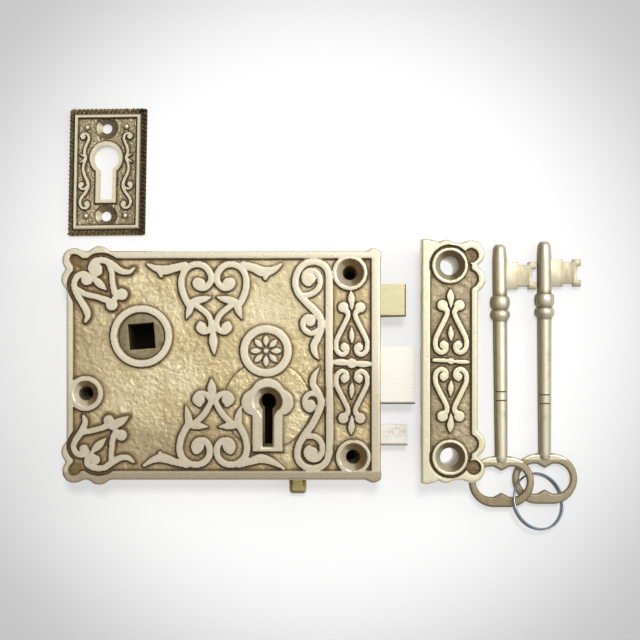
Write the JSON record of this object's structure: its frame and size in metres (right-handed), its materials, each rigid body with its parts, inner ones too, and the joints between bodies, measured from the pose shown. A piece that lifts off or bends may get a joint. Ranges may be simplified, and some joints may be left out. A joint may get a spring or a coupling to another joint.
{
  "type": "rim box lock set",
  "caption": "Ornate cast brass rim lock with sprung latch, dead bolt and sliding snib, laid out with its keep, keyhole escutcheon and ringed keys.",
  "frame": {"origin": "centre of the lock case's back face, which lies on the table or the door", "axes": "+X towards the bolts, +Y up the door, +Z out of the ornamented front"},
  "size_m": [0.1706, 0.14, 0.02],
  "materials": {
    "cast_brass": "aged cast brass with pale rubbed tops and brown hollows",
    "dark_brass": "dark patinated cast brass",
    "plain_brass": "pale filed brass",
    "polished_brass": "smooth polished cast brass",
    "steel": "drawn bright steel"
  },
  "bodies": {
    "lock": {"case": "cast_brass", "back_plate": "cast_brass", "back_plate_screws": "steel", "ward_ring": "plain_brass", "latch_spring": "steel", "latch_spring_post": "plain_brass", "latch_guide_pin": "plain_brass", "dead_bolt_guide_pin": "plain_brass", "dead_bolt_spring": "steel", "dead_bolt_spring_post": "plain_brass", "snib_spring": "steel", "snib_spring_post": "plain_brass"},
    "follower_hub": {"follower": "dark_brass"},
    "latch": {"latch_bolt": "plain_brass"},
    "main_bolt": {"dead_bolt": "plain_brass"},
    "snib": {"snib_bolt": "plain_brass", "snib_knob": "cast_brass"},
    "keep_box": {"keep": "cast_brass"},
    "keyhole_plate": {"escutcheon": "dark_brass"},
    "right_key": {"key_right": "polished_brass"},
    "left_key": {"key_left": "polished_brass"},
    "ring": {"split_ring": "steel"}
  },
  "joints": [
    {"name": "follower_turn", "type": "hinge", "parent": "lock", "child": "follower_hub", "pos_m": [-0.0263, 0.0094, 0.01], "axis": [0, 0, 1], "range_deg": [0, 42], "stiffness_Nm_per_rad": 0.03, "springref_deg": -20.05},
    {"name": "latch_slide", "type": "slide", "parent": "lock", "child": "latch", "axis": [-1, 0, 0], "range_m": [0, 0.0085], "deforming": ["latch_spring"]},
    {"name": "dead_bolt_slide", "type": "slide", "parent": "lock", "child": "main_bolt", "axis": [-1, 0, 0], "range_m": [0, 0.0115], "deforming": ["dead_bolt_spring"]},
    {"name": "snib_slide", "type": "slide", "parent": "lock", "child": "snib", "axis": [-1, 0, 0], "range_m": [0, 0.0094], "deforming": ["snib_spring"]},
    {"name": "keep_lift", "type": "slide", "parent": "lock", "child": "keep_box", "axis": [0, 0, 1], "range_m": [0, 0.04]},
    {"name": "escutcheon_lift", "type": "slide", "parent": "lock", "child": "keyhole_plate", "axis": [0, 0, 1], "range_m": [0, 0.04]},
    {"name": "keys_lift", "type": "slide", "parent": "lock", "child": "right_key", "axis": [0.6, 0, 0.8], "range_m": [0, 0.05]},
    {"name": "left_key_tip", "type": "hinge", "parent": "right_key", "child": "left_key", "pos_m": [0.09075, -0.0383, 0.0066], "axis": [1, 0, 0], "range_deg": [0, 5]},
    {"name": "ring_turn", "type": "hinge", "parent": "right_key", "child": "ring", "pos_m": [0.10308, -0.04488, 0.00551], "axis": [0.3885, 0.2771, 0.8788], "range_deg": [-5, 5]}
  ],
  "couplings": [
    {"joint": "latch_slide", "follows": "follower_turn", "m_per_rad": 0.011595}
  ]
}
